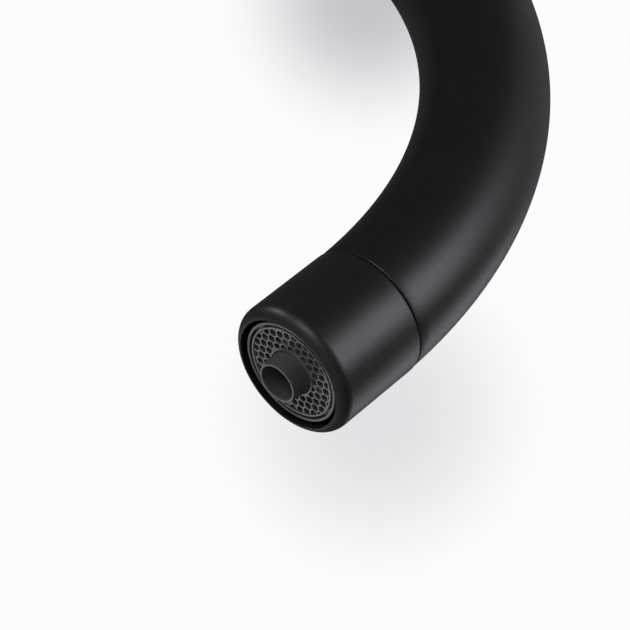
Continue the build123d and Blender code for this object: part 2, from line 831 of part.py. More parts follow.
with BuildPart() as filter_lever_rod:
    with BuildSketch(upright_plane(-filter_rod_offset, lever_height + filter_rod_root)):
        Circle(filter_rod_radius)
    extrude(amount=filter_rod_length)
    fillet(filter_lever_rod.faces().sort_by(Axis.Z)[-1].edges(), rod_tip_edge)
filter_lever_rod.part.label = "filter_lever_rod"
export_step(filter_lever_rod.part, "parts/filter_lever_rod.step")

filter_screw_plane = Plane(
    origin=(-filter_rod_offset, 0, lever_height - spindle_radius - fit), x_dir=(1, 0, 0), z_dir=(0, 0, -1)
)
filter_set_screw = socket_screw(
    filter_screw_plane, filter_screw_radius, filter_screw_length, filter_hex_key
)
filter_set_screw.part.label = "filter_set_screw"
export_step(filter_set_screw.part, "parts/filter_set_screw.step")

# ---- Spout -------------------------------------------------------------------------------------

with BuildPart() as spout_tube:
    with BuildLine(Plane.YZ):
        column = Line((0, tube_start), (0, arch_height))
        JernArc(column @ 1, column % 1, arch_radius, arch_sweep + trim_turn)
    with BuildSketch(Plane.XY.offset(tube_start)):
        Circle(tube_radius)
        Circle(tube_bore, mode=Mode.SUBTRACT)
    sweep()
    with BuildSketch(head_plane(0)):
        Circle(tube_radius + trim_margin)
    extrude(amount=-trim_length, mode=Mode.SUBTRACT)
spout_tube.part.label = "spout_tube"
export_step(spout_tube.part, "parts/spout_tube.step")

stop_pin_angle = degrees(asin(stop_pin_radius / (foot_radius - stop_slot_depth)))
stop_half_angle = swivel_limit + stop_pin_angle + swivel_play

with BuildPart() as spout_foot:
    with BuildSketch(Plane.XY.offset(foot_bottom)):
        Circle(foot_radius)
    extrude(amount=tube_start - foot_bottom)
    with BuildSketch(Plane.XY.offset(tube_start)):
        Circle(foot_spigot_radius)
    extrude(amount=foot_spigot_top - tube_start)
    with BuildSketch(Plane.XY.offset(foot_bottom)):
        Circle(foot_inner)
    extrude(amount=foot_spigot_top - foot_bottom, mode=Mode.SUBTRACT)
    # Grooves for the two glide rings and the friction ring
    for level, height in (
        (lower_glide_height, glide_height),
        (friction_ring_height, friction_ring_section),
        (upper_glide_height, glide_height),
    ):
        with BuildSketch(Plane.XY.offset(level - fit)):
            Circle(foot_radius)
            Circle(glide_groove_radius, mode=Mode.SUBTRACT)
        extrude(amount=height + 2 * fit, mode=Mode.SUBTRACT)
    # Slot of the swivel stop: a part of a ring, centred on the back
    with BuildSketch(Plane.XY.offset(stop_height - stop_pin_radius - touch)):
        with BuildLine():
            slot_arc = CenterArc((0, 0), foot_radius + past, 90 - stop_half_angle, 2 * stop_half_angle)
            Line(slot_arc @ 1, (0, 0))
            Line((0, 0), slot_arc @ 0)
        make_face()
        Circle(foot_radius - stop_slot_depth, mode=Mode.SUBTRACT)
    extrude(amount=2 * (stop_pin_radius + touch), mode=Mode.SUBTRACT)
spout_foot.part.label = "spout_foot"
export_step(spout_foot.part, "parts/spout_foot.step")

glide_bore = glide_groove_radius + fit
lower_glide_ring = ring(Plane.XY.offset(lower_glide_height), glide_radius, glide_bore, glide_height)
lower_glide_ring.part.label = "lower_glide_ring"
export_step(lower_glide_ring.part, "parts/lower_glide_ring.step")

upper_glide_ring = ring(Plane.XY.offset(upper_glide_height), glide_radius, glide_bore, glide_height)
upper_glide_ring.part.label = "upper_glide_ring"
export_step(upper_glide_ring.part, "parts/upper_glide_ring.step")

friction_ring = ring(
    Plane.XY.offset(friction_ring_height), glide_radius, glide_bore, friction_ring_section
)
friction_ring.part.label = "friction_ring"
export_step(friction_ring.part, "parts/friction_ring.step")

thrust_washer = ring(
    Plane.XY.offset(foot_bottom - thrust_washer_height),
    foot_radius,
    thrust_washer_bore,
    thrust_washer_height,
)
thrust_washer.part.label = "thrust_washer"
export_step(thrust_washer.part, "parts/thrust_washer.step")

# ---- Dock in the end of the spout --------------------------------------------------------------


def arch_plane(angle):
    """Plane across the arch at an angle from its foot, facing along the tube."""
    turn = radians(angle)
    centre = (0, arch_radius * (cos(turn) - 1), arch_height + arch_radius * sin(turn))
    return Plane(origin=centre, x_dir=(1, 0, 0), z_dir=(0, -sin(turn), cos(turn)))


def arch_plug(start_angle, end_angle, radius):
    """Solid plug that follows the inside of the arch between two angles."""
    with BuildPart() as made:
        with BuildLine(Plane.YZ):
            CenterArc((-arch_radius, arch_height), arch_radius, start_angle, end_angle - start_angle)
        with BuildSketch(arch_plane(start_angle)):
            Circle(radius)
        sweep()
    return made.part


dock_angle = degrees(dock_depth / arch_radius)
magnet_angle = degrees(magnet_height / arch_radius)
play_angle = degrees(fit / arch_radius)

with BuildPart() as dock_bush:
    add(arch_plug(arch_sweep - dock_angle, arch_sweep + trim_turn, dock_radius))
    with BuildSketch(head_plane(0)):
        Circle(tube_radius + trim_margin)
    extrude(amount=-trim_length, mode=Mode.SUBTRACT)
    with BuildSketch(head_plane(-past)):
        Circle(dock_bore)
    extrude(amount=dock_depth + far_past, mode=Mode.SUBTRACT)
dock_bush.part.label = "dock_bush"
export_step(dock_bush.part, "parts/dock_bush.step")

with BuildPart() as dock_magnet:
    magnet_end = arch_sweep - dock_angle - play_angle
    add(arch_plug(magnet_end - magnet_angle, magnet_end, magnet_radius))
    with BuildSketch(head_plane(0)):
        Circle(magnet_bore)
    extrude(amount=dock_depth + magnet_height + far_past, mode=Mode.SUBTRACT)
dock_magnet.part.label = "dock_magnet"
export_step(dock_magnet.part, "parts/dock_magnet.step")

# ---- Hose and filtered-water line --------------------------------------------------------------

# Seen from the seam, the arch's centre lies this far inwards and this far down
centre_inward = arch_radius * cos(radians(seam_kink))
centre_down = arch_radius * sin(radians(seam_kink))
entry_rise = centre_down + dock_lead
hose_arch_radius = hose_bend + hypot(centre_inward - hose_bend, entry_rise)
entry_turn = degrees(asin(entry_rise / (hose_arch_radius - hose_bend)))
arch_turn = 180 - degrees(head_tilt) - entry_turn
hose_offset = hose_arch_radius - arch_radius
column_turn = degrees(acos(1 - hose_offset / (2 * hose_bend)))
lower_turn = degrees(acos(1 - hose_shift / (2 * hose_bend)))


def upper_route(end_height):
    """Route from the swivel plane up the column and over the arch, to a height above the seam."""
    with BuildLine(Plane.YZ) as route:
        rise = Line((0, hose_split + fit), (0, column_bend_start))
        first = JernArc(rise @ 1, rise % 1, hose_bend, -column_turn)
        second = JernArc(first @ 1, first % 1, hose_bend, column_turn)
        column_run = Line(second @ 1, (hose_offset, arch_height))
        over = JernArc(column_run @ 1, (0, 1), hose_arch_radius, arch_turn)
        entry = JernArc(over @ 1, over % 1, hose_bend, entry_turn)
        Line(entry @ 1, (seam_y + end_height * head_up.Y, seam_z + end_height * head_up.Z))
    return route.line


def lower_route(end_depth):
    """Route from the swivel plane down the back of the shank, to a depth under the deck."""
    with BuildLine(Plane.YZ) as route:
        drop = Line((0, hose_split), (0, lower_bend_start))
        first = JernArc(drop @ 1, drop % 1, hose_bend, lower_turn)
        second = JernArc(first @ 1, first % 1, hose_bend, -lower_turn)
        Line(second @ 1, (hose_shift, -end_depth))
    return route.line


def pipe(route, start_plane, outer, inner):
    """Round pipe along a route that starts on a plane."""
    with BuildPart() as made:
        with BuildSketch(start_plane):
            Circle(outer)
            Circle(inner, mode=Mode.SUBTRACT)
        sweep(path=route)
    return made


upper_start = Plane.XY.offset(hose_split + fit)
lower_start = Plane.XY.offset(hose_split)

hose_upper = pipe(upper_route(hose_end_height), upper_start, hose_radius, hose_bore)
hose_upper.part.label = "hose_upper"
export_step(hose_upper.part, "parts/hose_upper.step")

filter_line_upper = pipe(upper_route(-line_end), upper_start, tube_line_radius, tube_line_bore)
filter_line_upper.part.label = "filter_line_upper"
export_step(filter_line_upper.part, "parts/filter_line_upper.step")

hose_lower = pipe(lower_route(lower_hose_end), lower_start, hose_radius, hose_bore)
hose_lower.part.label = "hose_lower"
export_step(hose_lower.part, "parts/hose_lower.step")

filter_line_lower = pipe(lower_route(fitting_bottom), lower_start, tube_line_radius, tube_line_bore)
filter_line_lower.part.label = "filter_line_lower"
export_step(filter_line_lower.part, "parts/filter_line_lower.step")

with BuildPart() as hose_end_fitting:
    with BuildSketch(Plane(origin=(0, hose_shift, -fitting_bottom))):
        Circle(fitting_radius)
        Circle(tube_line_radius + fit, mode=Mode.SUBTRACT)
    extrude(amount=fitting_bottom - lower_hose_end + fitting_grip)
    with BuildSketch(Plane(origin=(0, hose_shift, -lower_hose_end))):
        Circle(hose_radius + fit)
    extrude(amount=fitting_grip, mode=Mode.SUBTRACT)
    with BuildSketch(Plane(origin=(0, hose_shift, -fitting_bottom))):
        Circle(hose_bore)
        Circle(fitting_core, mode=Mode.SUBTRACT)
    extrude(amount=fitting_bottom - lower_hose_end - fitting_web, mode=Mode.SUBTRACT)
hose_end_fitting.part.label = "hose_end_fitting"
export_step(hose_end_fitting.part, "parts/hose_end_fitting.step")

with BuildPart() as hose_nipple:
    with BuildSketch(head_plane(-nipple_bottom)):
        Circle(nipple_radius)
    extrude(amount=nipple_bottom)
    with BuildSketch(head_plane(0)):
        Circle(nipple_collar_radius)
    extrude(amount=hose_end_height)
    with BuildSketch(head_plane(hose_end_height)):
        Circle(hose_bore - fit)
    extrude(amount=ferrule_top - hose_end_height - nipple_tail_setback)
    with BuildSketch(head_plane(-nipple_bottom)):
        Circle(nipple_bore)
    extrude(amount=nipple_bottom + ferrule_top, mode=Mode.SUBTRACT)
    with BuildSketch(head_plane(-nipple_bottom + oring_inset)):
        Circle(nipple_radius)
        Circle(oring_groove_radius, mode=Mode.SUBTRACT)
    extrude(amount=oring_height + 2 * fit, mode=Mode.SUBTRACT)
hose_nipple.part.label = "hose_nipple"
export_step(hose_nipple.part, "parts/hose_nipple.step")

nipple_oring = ring(
    head_plane(-nipple_bottom + oring_inset + fit),
    nipple_seat - fit,
    oring_groove_radius + fit,
    oring_height,
)
nipple_oring.part.label = "nipple_oring"
export_step(nipple_oring.part, "parts/nipple_oring.step")

hose_ferrule = ring(
    head_plane(hose_end_height + fit),
    ferrule_outer,
    hose_radius + fit,
    ferrule_top - hose_end_height - fit,
)
hose_ferrule.part.label = "hose_ferrule"
export_step(hose_ferrule.part, "parts/hose_ferrule.step")

# ---- Pull-out head -----------------------------------------------------------------------------

with BuildPart() as head_shell:
    with BuildSketch(head_plane(-head_length)):
        Circle(head_radius)
    extrude(amount=head_length - seam_gap)
    fillet(head_shell.faces().sort_by(Axis.Z)[-1].edges(), head_edge)
    fillet(head_shell.faces().sort_by(Axis.Z)[0].edges(), head_lip)
    with BuildSketch(head_plane(-head_length)):
        Circle(head_mouth)
    extrude(amount=head_length + core_top, mode=Mode.SUBTRACT)
    with BuildSketch(head_plane(core_top)):
        Circle(spigot_radius + fit)
    extrude(amount=head_web + past, mode=Mode.SUBTRACT)
head_shell.part.label = "head_shell"
export_step(head_shell.part, "parts/head_shell.step")

chamber_floor = -nipple_chamber

with BuildPart() as head_core:
    with BuildSketch(head_plane(-core_height)):
        Circle(core_radius)
    extrude(amount=core_height + core_top)
    with BuildSketch(head_plane(core_top)):
        Circle(spigot_radius)
    extrude(amount=spigot_top - core_top)
    # Chamber of the hose end, seat of the nipple, and the small chamber under it
    with BuildSketch(head_plane(-fit)):
        Circle(ferrule_chamber)
    extrude(amount=spigot_top + past, mode=Mode.SUBTRACT)
    with BuildSketch(head_plane(chamber_floor)):
        Circle(nipple_seat)
    extrude(amount=nipple_chamber, mode=Mode.SUBTRACT)
    with BuildSketch(head_plane(hose_end_height + ring_groove_rise)):
        Circle(retaining_ring_radius + fit)
        Circle(ferrule_chamber - fit, mode=Mode.SUBTRACT)
    extrude(amount=retaining_ring_height + 2 * fit, mode=Mode.SUBTRACT)
    # Socket of the centre nozzle
    with BuildSketch(head_plane(-core_height)):
        Circle(nozzle_socket)
    extrude(amount=core_height - nipple_chamber, mode=Mode.SUBTRACT)
    # Ports that lead the mixed water from the chamber to the aerator
    with BuildSketch(head_plane(-core_height)):
        with PolarLocations(port_circle, port_count):
            Circle(port_radius)
    extrude(amount=core_height - nipple_chamber + past, mode=Mode.SUBTRACT)
    for step in range(port_count):
        turn = radians(360 / port_count * step)
        outward = head_inward * cos(turn) + Vector(-1, 0, 0) * sin(turn)
        port_start = seam + head_up * (chamber_floor + side_port_height) + outward * tube_line_radius
        with BuildSketch(Plane(origin=port_start, z_dir=outward)):
            Circle(side_port_radius)
        extrude(amount=port_circle - tube_line_radius, mode=Mode.SUBTRACT)
    # Seat of the steel ring in the top of the spigot
    with BuildSketch(head_plane(spigot_top)):
        Circle(spigot_radius - steel_ring_wall)
    extrude(amount=-steel_ring_height, mode=Mode.SUBTRACT)
head_core.part.label = "head_core"
export_step(head_core.part, "parts/head_core.step")

head_steel_ring = ring(
    head_plane(spigot_top - steel_ring_height),
    spigot_radius - steel_ring_wall - fit,
    ferrule_chamber,
    steel_ring_height,
)
head_steel_ring.part.label = "head_steel_ring"
export_step(head_steel_ring.part, "parts/head_steel_ring.step")

hose_retaining_ring = ring(
    head_plane(hose_end_height + ring_groove_rise + fit),
    retaining_ring_radius,
    retaining_ring_bore,
    retaining_ring_height,
)
hose_retaining_ring.part.label = "hose_retaining_ring"
export_step(hose_retaining_ring.part, "parts/hose_retaining_ring.step")

aerator_top = core_height + aerator_seal_height
aerator_seal = ring(head_plane(-aerator_top), core_radius, aerator_bore, aerator_seal_height)
aerator_seal.part.label = "aerator_seal"
export_step(aerator_seal.part, "parts/aerator_seal.step")

with BuildPart() as aerator_housing:
    with BuildSketch(head_plane(-aerator_thread_end)):
        Circle(core_radius)
    extrude(amount=aerator_thread_end - aerator_top)
    with BuildSketch(head_plane(-aerator_end)):
        Circle(aerator_ring_outer)
    extrude(amount=aerator_end - aerator_thread_end)
    with BuildSketch(head_plane(-aerator_end)):
        Circle(aerator_bore)
    extrude(amount=aerator_end - aerator_top, mode=Mode.SUBTRACT)
    with BuildSketch(head_plane(-aerator_end)):
        Circle(aerator_ring_inner)
    extrude(amount=aerator_groove_depth, mode=Mode.SUBTRACT)
aerator_housing.part.label = "aerator_housing"
export_step(aerator_housing.part, "parts/aerator_housing.step")

with BuildPart() as aerator_diffuser:
    with BuildSketch(head_plane(-diffuser_start - diffuser_height)):
        Circle(comb_radius)
        Circle(comb_hub_radius, mode=Mode.SUBTRACT)
        with Locations(*hole_rings(diffuser_rows)):
            Circle(diffuser_hole, mode=Mode.SUBTRACT)
    extrude(amount=diffuser_height)
aerator_diffuser.part.label = "aerator_diffuser"
export_step(aerator_diffuser.part, "parts/aerator_diffuser.step")


def hexagon_centres(pitch, direction, offset, inner, outer):
    """Centres of a honeycomb's cells that reach into a ring-shaped area."""
    reach = round(2 * outer / pitch)
    overhang = pitch / 3
    first = Vector(cos(radians(direction)), sin(radians(direction))) * pitch
    second = Vector(cos(radians(direction + 60)), sin(radians(direction + 60))) * pitch
    centres = []
    for i in range(-reach, reach + 1):
        for j in range(-reach, reach + 1):
            centre = first * i + second * j + Vector(*offset)
            if inner - overhang < centre.length < outer + overhang:
                centres.append((centre.X, centre.Y))
    return centres


def is_filled(centre):
    """True for a cell that is closed a little way in, at one of the comb's moulding points."""
    return any(hypot(centre[0] - x, centre[1] - y) < cell_pitch / 2 for x, y in filled_cells)


all_cells = hexagon_centres(
    cell_pitch, cell_direction, cell_offset, comb_hub_radius + comb_hub_wall, comb_cell_limit
)
open_cells = [centre for centre in all_cells if not is_filled(centre)]
blind_cells = [centre for centre in all_cells if is_filled(centre)]
cell_radius = (cell_pitch - cell_wall) / 2
cell_turn = cell_direction + 30

with BuildPart() as aerator_comb:
    with BuildSketch(head_plane(-comb_end)):
        Circle(comb_radius)
        Circle(comb_hub_radius, mode=Mode.SUBTRACT)
    extrude(amount=comb_end - comb_start)
    with BuildSketch(head_plane(-comb_end)):
        Circle(comb_cell_limit)
        Circle(comb_hub_radius + comb_hub_wall, mode=Mode.SUBTRACT)
    extrude(amount=comb_end - comb_cells_end, mode=Mode.SUBTRACT)
    with BuildSketch(head_plane(-comb_end)):
        with Locations(*open_cells):
            RegularPolygon(cell_radius, 6, major_radius=False, rotation=cell_turn)
        Circle(comb_cell_limit, mode=Mode.INTERSECT)
        Circle(comb_hub_radius + comb_hub_wall, mode=Mode.SUBTRACT)
    extrude(amount=comb_end - comb_start, mode=Mode.SUBTRACT)
    with BuildSketch(head_plane(-comb_end)):
        with Locations(*blind_cells):
            RegularPolygon(cell_radius, 6, major_radius=False, rotation=cell_turn)
    extrude(amount=comb_end - comb_cells_end + blind_cell_depth, mode=Mode.SUBTRACT)
aerator_comb.part.label = "aerator_comb"
export_step(aerator_comb.part, "parts/aerator_comb.step")

with BuildPart() as aerator_mesh:
    with BuildSketch(head_plane(-mesh_start - mesh_height)):
        Circle(comb_radius)
        Circle(comb_hub_radius, mode=Mode.SUBTRACT)
        with Locations(*hole_rings(mesh_rows)):
            Circle(mesh_hole, mode=Mode.SUBTRACT)
    extrude(amount=mesh_height)
aerator_mesh.part.label = "aerator_mesh"
export_step(aerator_mesh.part, "parts/aerator_mesh.step")

with BuildPart() as centre_nozzle:
    with BuildSketch(head_plane(-comb_end)):
        Circle(nozzle_hub_radius)
    extrude(amount=comb_end - nozzle_top)
    with BuildSketch(head_plane(-comb_end)):
        Circle(nozzle_hub_radius)
    with BuildSketch(head_plane(-nozzle_tip)):
        Circle(nozzle_tip_radius)
    loft()
    with BuildSketch(head_plane(-nozzle_tip)):
        Circle(nozzle_tip_bore)
    extrude(amount=nozzle_tip - nozzle_bore_start, mode=Mode.SUBTRACT)
    with BuildSketch(head_plane(-nozzle_tip)):
        Circle(tube_line_bore)
    extrude(amount=nozzle_tip - nozzle_top, mode=Mode.SUBTRACT)
    with BuildSketch(head_plane(-line_end - fit)):
        Circle(tube_line_radius + running)
    extrude(amount=line_end, mode=Mode.SUBTRACT)
    with BuildSketch(head_plane(-nozzle_top - oring_inset - oring_height)):
        Circle(nozzle_ring_groove)
    extrude(amount=oring_height, mode=Mode.SUBTRACT)
centre_nozzle.part.label = "centre_nozzle"
export_step(centre_nozzle.part, "parts/centre_nozzle.step")

nozzle_oring = ring(
    head_plane(-nozzle_top - oring_inset - oring_height + fit / 2),
    nozzle_ring_groove - fit,
    tube_line_radius + running,
    oring_height - fit,
)
nozzle_oring.part.label = "nozzle_oring"
export_step(nozzle_oring.part, "parts/nozzle_oring.step")

screen_holes = [(0, 0)] + hole_rings(nozzle_screen_rows)
nozzle_screen = drilled_disc(
    head_plane(-nozzle_screen_depth),
    nozzle_tip_bore - fit,
    nozzle_screen_height,
    screen_holes,
    mesh_hole,
)
nozzle_screen.part.label = "nozzle_screen"
export_step(nozzle_screen.part, "parts/nozzle_screen.step")

# ---- Hose report -------------------------------------------------------------------------------

upper_length = sum(edge.length for edge in upper_route(hose_end_height).edges())
lower_length = sum(edge.length for edge in lower_route(lower_hose_end).edges())
hose_section = pi * (hose_radius**2 - hose_bore**2)
print(f"hose bends: {hose_bend:.1f} mm at its ends, {hose_arch_radius:.1f} mm in the arch")
print(f"hose length: {upper_length:.1f} mm above the swivel plane and {lower_length:.1f} mm below it")
print(f"upper hose volume {hose_upper.part.volume:.1f}, section x length {hose_section * upper_length:.1f}")
print(f"lower hose volume {hose_lower.part.volume:.1f}, section x length {hose_section * lower_length:.1f}")
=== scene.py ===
import json
from math import acos, asin, atan2, cos, hypot, pi, radians, sin, tan

import bmesh
import bpy
from mathutils import Matrix, Vector


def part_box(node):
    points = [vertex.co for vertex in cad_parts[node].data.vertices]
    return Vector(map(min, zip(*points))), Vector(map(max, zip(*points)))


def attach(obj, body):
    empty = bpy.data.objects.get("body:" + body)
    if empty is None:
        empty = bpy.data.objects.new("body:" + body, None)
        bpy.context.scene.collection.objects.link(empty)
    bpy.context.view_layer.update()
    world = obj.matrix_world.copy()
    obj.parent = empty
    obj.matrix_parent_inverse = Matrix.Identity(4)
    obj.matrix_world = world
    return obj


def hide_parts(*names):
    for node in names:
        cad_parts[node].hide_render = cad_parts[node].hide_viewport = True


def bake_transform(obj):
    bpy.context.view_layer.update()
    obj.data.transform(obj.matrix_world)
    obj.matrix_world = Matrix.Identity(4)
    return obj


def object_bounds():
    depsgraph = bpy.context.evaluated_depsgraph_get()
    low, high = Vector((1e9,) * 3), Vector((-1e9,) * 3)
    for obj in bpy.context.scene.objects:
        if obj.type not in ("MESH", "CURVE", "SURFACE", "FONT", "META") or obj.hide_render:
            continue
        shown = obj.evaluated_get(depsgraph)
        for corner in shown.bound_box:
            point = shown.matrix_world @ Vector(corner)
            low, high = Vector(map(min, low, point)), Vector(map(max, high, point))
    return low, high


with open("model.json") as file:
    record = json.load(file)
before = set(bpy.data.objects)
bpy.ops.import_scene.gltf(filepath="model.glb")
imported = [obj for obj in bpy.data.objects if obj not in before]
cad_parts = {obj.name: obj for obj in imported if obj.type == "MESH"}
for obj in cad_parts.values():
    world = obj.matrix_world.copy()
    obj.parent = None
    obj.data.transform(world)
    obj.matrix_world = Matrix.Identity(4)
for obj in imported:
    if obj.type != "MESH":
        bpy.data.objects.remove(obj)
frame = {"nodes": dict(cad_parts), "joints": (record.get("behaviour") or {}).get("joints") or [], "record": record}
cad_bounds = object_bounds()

MM = 0.001

# ---- Places taken from the frame ---------------------------------------------------------------

joints = {joint["name"]: joint for joint in frame["joints"]}
seam = Vector(joints["head_swivel"]["pos_m"])
head_up = Vector(joints["head_swivel"]["axis"]).normalized()
head_inward = Vector((0, head_up.z, -head_up.y))
tube_low, tube_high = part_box("spout_tube")
tube_radius = tube_high.x
arch_sweep = radians(165)
arch_radius = -seam.y / (1 - cos(arch_sweep))
arch_height = tube_high.z - arch_radius - tube_radius
tube_wall = 1.2 * MM
tube_bore = tube_radius - tube_wall
node_slots = {row["node"]: row["material_slot"] for row in frame["record"]["subparts"]}
body_nodes = frame["record"]["behaviour"]["bodies"]
node_bodies = {node: body for body, nodes in body_nodes.items() for node in nodes}


def frame_matrix(origin, x_axis, z_axis):
    """Matrix that puts a piece's own axes at a place in the shared frame."""
    z = Vector(z_axis).normalized()
    x = Vector(x_axis).normalized()
    y = z.cross(x)
    turned = Matrix((x, y, z)).transposed()
    return Matrix.Translation(Vector(origin)) @ turned.to_4x4()


head_frame = frame_matrix(seam, head_inward, head_up)

# ---- Camera ------------------------------------------------------------------------------------

# The camera stands to the left of the spout's end and below it, looks up to the right,
# and is rolled on its side.
camera_heading = radians(48.92)
camera_rise = radians(24.75)
camera_roll = radians(-63.79)
camera_distance = 0.4736
camera_lens = 139.6
camera_aim = seam + Vector((0.0002, 0.0054, -0.0081))


def make_camera():
    """Camera at the viewing angle, aimed close to the seam."""
    forward = Vector(
        (
            cos(camera_rise) * sin(camera_heading),
            cos(camera_rise) * cos(camera_heading),
            sin(camera_rise),
        )
    )
    level_right = forward.cross(Vector((0, 0, 1))).normalized()
    level_up = level_right.cross(forward)
    up = level_up * cos(camera_roll) + level_right * sin(camera_roll)
    data = bpy.data.cameras.new("camera")
    data.lens = camera_lens
    data.sensor_width = 36
    data.clip_start = 0.01
    data.clip_end = 50
    camera = bpy.data.objects.new("camera", data)
    bpy.context.scene.collection.objects.link(camera)
    right = forward.cross(up)
    place = camera_aim - forward * camera_distance
    turned = Matrix((right, up, -forward)).transposed()
    camera.matrix_world = Matrix.Translation(place) @ turned.to_4x4()
    bpy.context.scene.camera = camera


make_camera()

# ---- Materials ---------------------------------------------------------------------------------

# Nearly all values of a noise texture lie between these two
noise_low = 0.3
noise_high = 0.7


def new_material(name):
    """New node material; returns it, its node tree and its shader."""
    material = bpy.data.materials.new(name)
    material.use_nodes = True
    tree = material.node_tree
    return material, tree, tree.nodes["Principled BSDF"]


def noise(tree, scale, detail=3.0, stretch=(1, 1, 1)):
    """Noise in the object's own coordinates; scale is in features per metre."""
    coordinates = tree.nodes.new("ShaderNodeTexCoord")
    mapping = tree.nodes.new("ShaderNodeMapping")
    mapping.inputs["Scale"].default_value = stretch
    texture = tree.nodes.new("ShaderNodeTexNoise")
    texture.inputs["Scale"].default_value = scale
    texture.inputs["Detail"].default_value = detail
    tree.links.new(coordinates.outputs["Object"], mapping.inputs["Vector"])
    tree.links.new(mapping.outputs["Vector"], texture.inputs["Vector"])
    return texture.outputs["Fac"]


def ramp(tree, value, stops):
    """Colour ramp over a value; stops are (position, colour) pairs."""
    node = tree.nodes.new("ShaderNodeValToRGB")
    elements = node.color_ramp.elements
    for element, (position, colour) in zip(elements, (stops[0], stops[-1])):
        element.position = position
        element.color = (*colour, 1)
    for position, colour in stops[1:-1]:
        elements.new(position).color = (*colour, 1)
    tree.links.new(value, node.inputs["Fac"])
    return node.outputs["Color"]


def map_range(tree, value, start, end, low, high, blend="LINEAR"):
    """A value between start and end mapped to low and high, and held outside them."""
    node = tree.nodes.new("ShaderNodeMapRange")
    node.interpolation_type = blend
    node.inputs["From Min"].default_value = start
    node.inputs["From Max"].default_value = end
    node.inputs["To Min"].default_value = low
    node.inputs["To Max"].default_value = high
    tree.links.new(value, node.inputs["Value"])
    return node.outputs["Result"]


def spread(tree, value, low, high):
    """A noise value mapped to low and high."""
    return map_range(tree, value, noise_low, noise_high, low, high)


def combined(tree, operation, first, second):
    """Two values put together by a Math node."""
    node = tree.nodes.new("ShaderNodeMath")
    node.operation = operation
    tree.links.new(first, node.inputs[0])
    tree.links.new(second, node.inputs[1])
    return node.outputs["Value"]


def bump(tree, shader, height, distance):
    """Bump on the shader's normal."""
    node = tree.nodes.new("ShaderNodeBump")
    node.inputs["Strength"].default_value = 1.0
    node.inputs["Distance"].default_value = distance
    tree.links.new(height, node.inputs["Height"])
    tree.links.new(node.outputs["Normal"], shader.inputs["Normal"])


def grained(name, dark, light, roughness, grain, relief, metallic=0.0, stretch=(1, 1, 1)):
    """Material whose colour, gloss and relief vary with two sizes of noise.

    The grain is in features per metre, and the relief is its depth in metres.
    """
    fine_to_broad = 12
    material, tree, shader = new_material(name)
    broad = noise(tree, grain / fine_to_broad, 2.0, stretch)
    fine = noise(tree, grain, 4.0, stretch)
    colour = ramp(tree, broad, [(noise_low, dark), (noise_high, light)])
    tree.links.new(colour, shader.inputs["Base Color"])
    tree.links.new(spread(tree, fine, *roughness), shader.inputs["Roughness"])
    shader.inputs["Metallic"].default_value = metallic
    bump(tree, shader, fine, relief)
    return material


def powder_coat():
    """Matt black powder coat with a fine even tooth."""
    dark = (0.0042, 0.0042, 0.0048)
    light = (0.0060, 0.0060, 0.0068)
    return grained("black_coat", dark, light, (0.40, 0.45), 2600, 0.006 * MM)


def aerator_plastic():
    """Dark moulded plastic with a soft sheen and faint moulding marks."""
    dark = (0.056, 0.056, 0.057)
    light = (0.072, 0.072, 0.074)
    return grained("aerator_plastic", dark, light, (0.35, 0.42), 1800, 0.006 * MM)


def turned_metal(name, dark, light, roughness):
    """Machined metal with fine tool marks round its axis."""
    along_axis = (0.25, 0.25, 4)
    return grained(name, dark, light, roughness, 900, 0.015 * MM, metallic=1.0, stretch=along_axis)


def braid():
    """Black nylon braid: two crossing sets of strands, in the object's own coordinates."""
    material, tree, shader = new_material("hose_braid")
    coordinates = tree.nodes.new("ShaderNodeTexCoord")
    sets = []
    strand_lean = 0.6
    strand_scale = 180
    for lean in (strand_lean, -strand_lean):
        mapping = tree.nodes.new("ShaderNodeMapping")
        mapping.inputs["Rotation"].default_value = (lean, 0, 0)
        wave = tree.nodes.new("ShaderNodeTexWave")
        wave.bands_direction = "Z"
        wave.inputs["Scale"].default_value = strand_scale
        wave.inputs["Distortion"].default_value = 0.4
        wave.inputs["Detail"].default_value = 1
        tree.links.new(coordinates.outputs["Object"], mapping.inputs["Vector"])
        tree.links.new(mapping.outputs["Vector"], wave.inputs["Vector"])
        sets.append(wave.outputs["Fac"])
    strands = combined(tree, "MAXIMUM", *sets)
    colour = ramp(tree, strands, [(0.35, (0.006, 0.006, 0.007)), (0.9, (0.05, 0.05, 0.055))])
    tree.links.new(colour, shader.inputs["Base Color"])
    tree.links.new(spread(tree, noise(tree, 3000), 0.5, 0.65), shader.inputs["Roughness"])
    bump(tree, shader, strands, 0.4 * MM)
    return material


def screen():
    """Etched steel screen."""
    dark = (0.16, 0.16, 0.165)
    light = (0.26, 0.26, 0.27)
    return grained("screen", dark, light, (0.3, 0.45), 2200, 0.02 * MM, metallic=1.0)


def rubber():
    """Matt black rubber."""
    return grained("rubber", (0.011, 0.011, 0.011), (0.019, 0.019, 0.019), (0.62, 0.78), 1400, 0.03 * MM)


def white_plastic():
    """Moulded acetal, slightly warm."""
    return grained("white_plastic", (0.66, 0.66, 0.63), (0.74, 0.74, 0.71), (0.36, 0.48), 1200, 0.01 * MM)


def ceramic():
    """Polished ceramic of the valve discs."""
    return grained("ceramic", (0.82, 0.80, 0.76), (0.88, 0.87, 0.84), (0.10, 0.18), 900, 0.004 * MM)


def blue_line():
    """Blue plastic tube for filtered water."""
    return grained("blue_line", (0.03, 0.09, 0.30), (0.04, 0.12, 0.38), (0.32, 0.42), 1100, 0.01 * MM)


